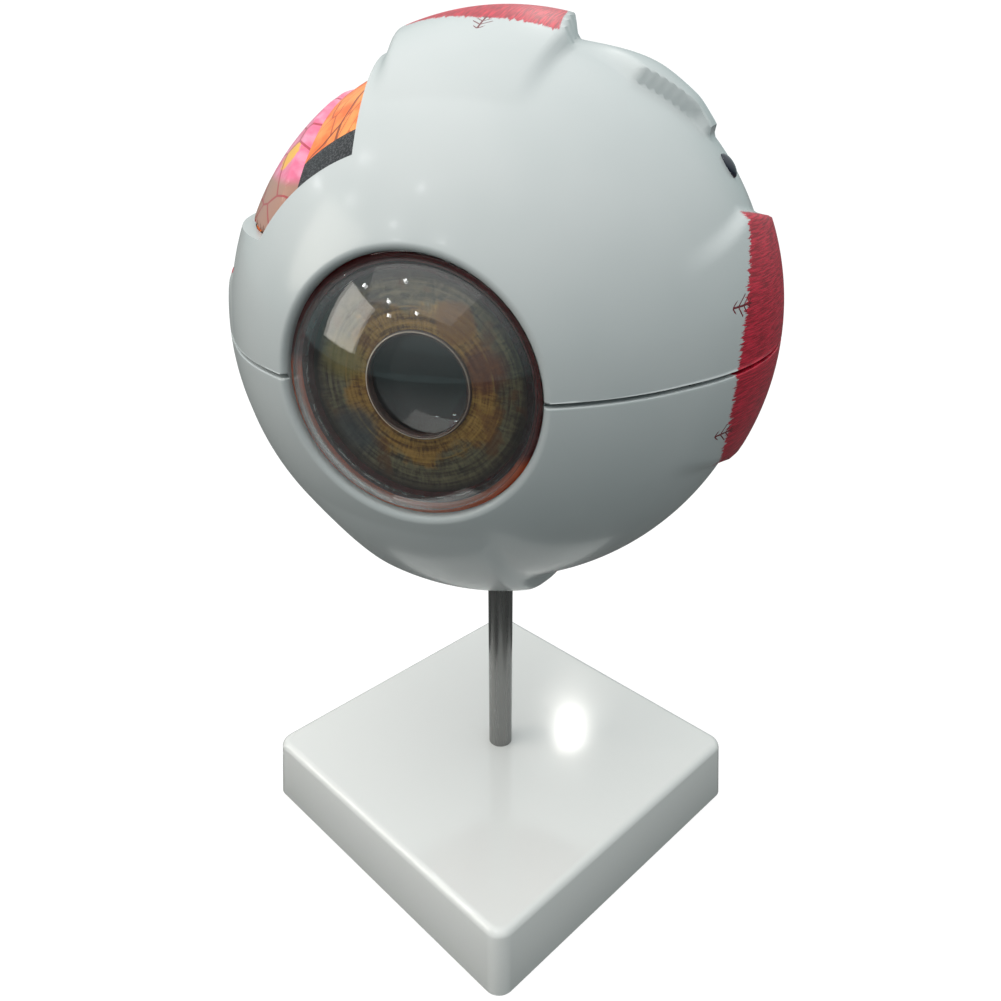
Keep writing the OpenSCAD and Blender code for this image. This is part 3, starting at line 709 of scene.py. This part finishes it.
# Painted shade: the cup's wall is painted dark maroon for the shaded recess behind the sclera's lip.
cup = ramp(iris_paint, iris_radius, 25.6, 25.75)
iris_colour = mix_colour(iris_paint, cup, iris_colour, (0.075, 0.008, 0.010))
pupil_edge = ramp(iris_paint, iris_radius, 12.55, 12.7, 1.0, 0.0)
iris_colour = mix_colour(iris_paint, pupil_edge, iris_colour, (0.10, 0.055, 0.045))
# Painted highlight: a bright line on the raised ring around the pupil, where a clear rim would shine, full on one side
# and fading to 0.3 on the other.
pupil_rim_highlight_gap = calc(iris_paint, "ABSOLUTE", calc(iris_paint, "SUBTRACT", iris_radius, 12.25))
pupil_rim_highlight_side = calc(iris_paint, "ADD", ix, calc(iris_paint, "MULTIPLY", iz, 0.4))
pupil_rim_highlight = calc(iris_paint, "MULTIPLY", ramp(iris_paint, pupil_rim_highlight_gap, 0.08, 0.2, 1.0, 0.0),
                ramp(iris_paint, pupil_rim_highlight_side, -9.0, 12.0, 1.0, 0.3))
iris_colour = mix_colour(iris_paint, pupil_rim_highlight, iris_colour, (0.85, 0.72, 0.60))
join(iris_paint, iris_colour, iris_paint.node_tree.nodes["Principled BSDF"].inputs["Base Color"])
bump(iris_paint, strokes, 0.2, 0.0003)
flange_y = lip_y - 0.7
iris_r, cup_wall, pupil_r, rim_w, iris_t = 27.0, 1.2, 11.7, 0.8, 1.2
iris_section = [(iris_r, -flange_y), (iris_r, -iris_y + iris_t), (pupil_r, -iris_y + iris_t),
                (pupil_r, -iris_y - rim_w + 0.25), (pupil_r + 0.25, -iris_y - rim_w),
                (pupil_r + rim_w - 0.25, -iris_y - rim_w), (pupil_r + rim_w, -iris_y - rim_w + 0.25),
                (pupil_r + rim_w, -iris_y), (16, -iris_y), (21, -iris_y), (iris_r - cup_wall, -iris_y),
                (iris_r - cup_wall, -flange_y)]
lathe("iris_cup", iris_section, iris_paint, "cornea_body", "iris")

# ---------------------------------------------------------------------------------------------
# Cornea: a thin clear dome with a flat flange, which the iris cup is bonded to. It is moulded in
# clear plastic and pushed into the sclera's front opening.
cornea_r, cornea_curve, cornea_wall, flange_t = opening_r - 0.4, 40.0, 1.6, 0.8
cornea_c = -(flange_y + 1.8 - math.sqrt(cornea_curve ** 2 - cornea_r ** 2))
cornea_section = arc(cornea_curve, cornea_c, 0, cornea_r, True, 40)
cornea_section += [(cornea_r, -flange_y), (iris_r - cup_wall, -flange_y), (iris_r - cup_wall, -flange_y - flange_t),
                   (cornea_r - cornea_wall, -flange_y - flange_t)]
cornea_section += arc(cornea_curve - cornea_wall, cornea_c, cornea_r - cornea_wall, 0, True, 40)
lathe("cornea_dome", cornea_section, clear, "cornea_body", "cornea", closed=False)

# ---------------------------------------------------------------------------------------------
# Studio: a pale floor, soft light from above and the small lamps that shine in the cornea. The
# camera stands where the photograph was taken, and the small lamps are aimed through its pixels.
camera_at = Vector((0.1708, -0.1689, 0.2395))
camera_pitch, camera_heading, focal_px, photo_px = math.radians(26.6), math.radians(45.32), 867.5, 1001
camera_data = bpy.data.cameras.new("camera")
camera_data.sensor_width, camera_data.lens = 36, focal_px / photo_px * 36
camera_data.clip_start = 0.01
camera = bpy.data.objects.new("camera", camera_data)
camera.location = camera_at
camera.rotation_euler = (math.pi / 2 - camera_pitch, 0, camera_heading)
bpy.context.scene.collection.objects.link(camera)
bpy.context.scene.camera = camera
bpy.context.view_layer.update()

bm = bmesh.new()
bmesh.ops.create_grid(bm, x_segments=1, y_segments=1, size=15)
floor_mesh = bpy.data.meshes.new("floor")
bm.to_mesh(floor_mesh)
bm.free()
floor_paint = plain_material("pale floor", (0.4, 0.4, 0.4), 0.9, Emission_Strength=1.0)
floor_seen = add_node(floor_paint, "ShaderNodeLightPath").outputs["Is Camera Ray"]
floor_shader = floor_paint.node_tree.nodes["Principled BSDF"]
for socket_name, bounced, direct in (("Base Color", 0.09, 0.16), ("Emission Color", 0.0, 0.87)):
    grey = mix_colour(floor_paint, floor_seen, (bounced,) * 3, (direct,) * 3)
    join(floor_paint, grey, floor_shader.inputs[socket_name])
floor_mesh.materials.append(floor_paint)
floor = bpy.data.objects.new("floor", floor_mesh)
bpy.context.scene.collection.objects.link(floor)

world = bpy.data.worlds.new("world")
world.use_nodes = True
sky = world.node_tree.nodes["Background"]
sky_way = add_node(world, "ShaderNodeSeparateXYZ")
join(world, add_node(world, "ShaderNodeTexCoord").outputs["Generated"], sky_way.inputs["Vector"])
sky_light = mix_colour(world, ramp(world, sky_way.outputs["Z"], 0.0, 0.95), (0.27, 0.355, 0.355), (1.0, 1.08, 1.08))
sky_seen = add_node(world, "ShaderNodeLightPath").outputs["Is Camera Ray"]
join(world, mix_colour(world, sky_seen, sky_light, (1.05, 1.05, 1.05)), sky.inputs["Color"])
sky.inputs["Strength"].default_value = 1.0
bpy.context.scene.world = world


def pixel_direction(x, y):
    """The direction in which the camera sees a place given in the photograph's pixels."""
    seen = Vector(((x - photo_px / 2) / focal_px, -(y - photo_px / 2) / focal_px, -1)).normalized()
    return camera.matrix_world.to_3x3() @ seen


def lamp(name, at, target, size, power, colour=(1, 1, 1), shape="SQUARE"):
    light = bpy.data.lights.new(name, "AREA")
    light.shape, light.size, light.energy, light.color = shape, size, power, colour
    piece = bpy.data.objects.new(name, light)
    piece.location = at
    piece.rotation_euler = (Vector(target) - Vector(at)).to_track_quat("-Z", "Y").to_euler()
    bpy.context.scene.collection.objects.link(piece)
    return piece


key = lamp("soft key", (0.05, -0.35, 1.6), (0, 0, 0.15), 2.0, 15, (1.0, 0.93, 0.88))
key.visible_glossy = False


def mirrored(x, y, centre, radius):
    """Where a ray through a place in the photograph meets a sphere, and the way it leaves it."""
    seen = pixel_direction(x, y)
    gap = camera_at - centre
    reach = gap.dot(seen)
    hit = camera_at + seen * (-reach - math.sqrt(max(0, reach * reach - gap.length_squared + radius ** 2)))
    normal = (hit - centre).normalized()
    return hit, seen - 2 * seen.dot(normal) * normal


dome = eye_place @ Vector((0, cornea_c, 0))
window_px = (346, 318)
hit, bounce = mirrored(*window_px, dome, cornea_curve * 0.001)
lamp("soft fill", hit + bounce * 1.4, hit, 0.72, 5.0, (1.0, 0.95, 0.86))
for place, aim, power in (((-0.03, -0.50, 0.012), (0.0, -0.0585, 0.010), 0.008),
                          ((0.50, 0.02, 0.012), (0.0585, 0.0, 0.010), 0.004)):
    low = lamp("low fill", place, aim, 0.14, power)
    low.data.spread = math.radians(14)
    low.visible_glossy = low.visible_transmission = False
base_glow_px, base_top = (570, 728), base_height
seen = pixel_direction(*base_glow_px)
spot = camera_at + seen * ((base_top - camera_at.z) / seen.z)
bounce = Vector((seen.x, seen.y, -seen.z))
lamp("lamp in the base", spot + bounce * 1.2, spot, 0.034, 0.3, (1.0, 0.98, 0.93), "DISK")
glints_px = ((374, 260), (345, 273), (364, 285), (405, 280), (388, 301), (388, 315), (416, 313))
for glint_px in glints_px:
    hit, bounce = mirrored(*glint_px, dome, cornea_curve * 0.001)
    lamp("ceiling lamp", hit + bounce * 1.3, hit, 0.045, 0.16)

bpy.context.scene.view_settings.view_transform = "Standard"

piece_low, piece_high = [1e9] * 3, [-1e9] * 3
graph = bpy.context.evaluated_depsgraph_get()
for piece in bpy.context.scene.objects:
    if piece.type == "MESH" and piece is not floor and not piece.hide_render:
        for corner in piece.evaluated_get(graph).data.vertices:
            for axis in range(3):
                piece_low[axis] = min(piece_low[axis], corner.co[axis])
                piece_high[axis] = max(piece_high[axis], corner.co[axis])
